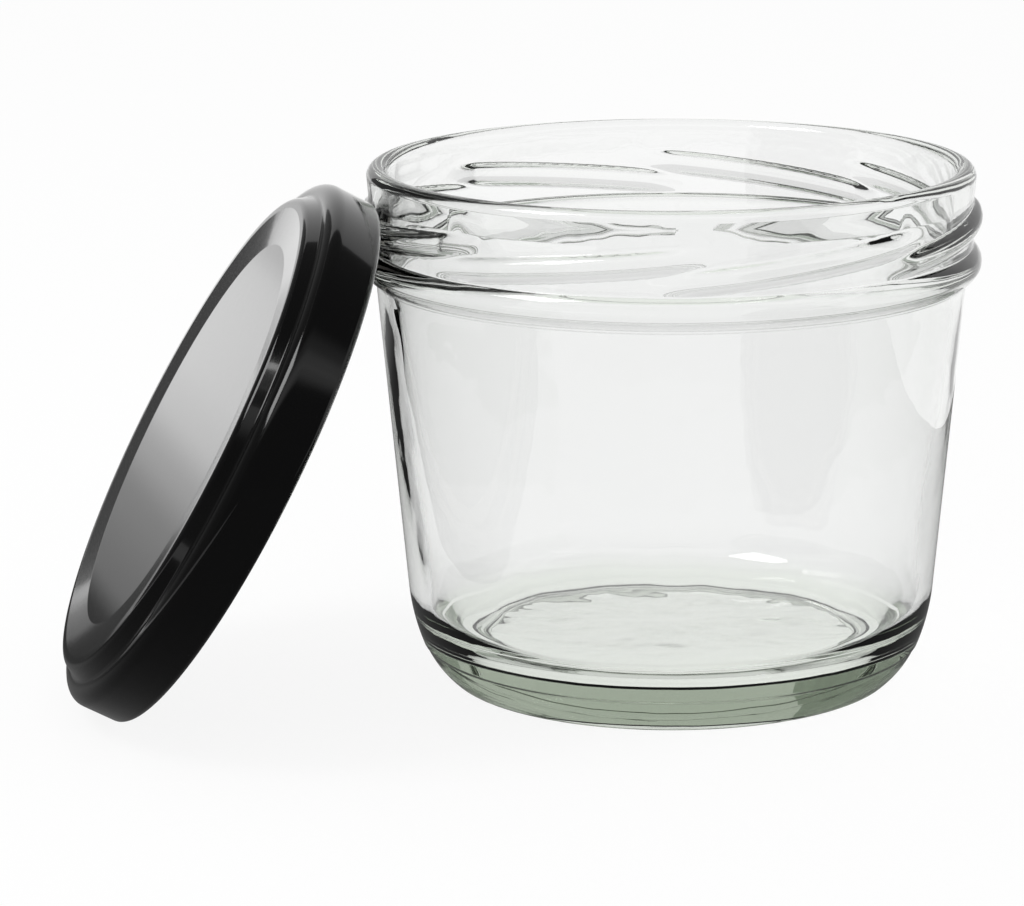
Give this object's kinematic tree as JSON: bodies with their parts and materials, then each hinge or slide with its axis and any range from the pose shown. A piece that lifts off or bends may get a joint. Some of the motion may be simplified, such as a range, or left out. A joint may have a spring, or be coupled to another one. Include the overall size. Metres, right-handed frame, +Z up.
{
  "type": "canning jar",
  "caption": "Low tumbler canning jar of clear pressed glass with a threaded wide mouth, standing empty with its twist-off metal lid leaning on the neck.",
  "frame": {"origin": "on the jar's vertical axis, in the plane the jar stands on", "axes": "+Z up along the jar's axis; the lid leans against the neck on the -X side, with its outer face turned away from the jar and a little towards -Y"},
  "size_m": [0.1205, 0.0948, 0.0684],
  "materials": {
    "glass": "clear with a faint green cast",
    "lacquer": "gloss black",
    "compound": "matt"
  },
  "bodies": {
    "root": {"jar": "glass", "lid": "lacquer", "seal": "compound"}
  },
  "joints": []
}
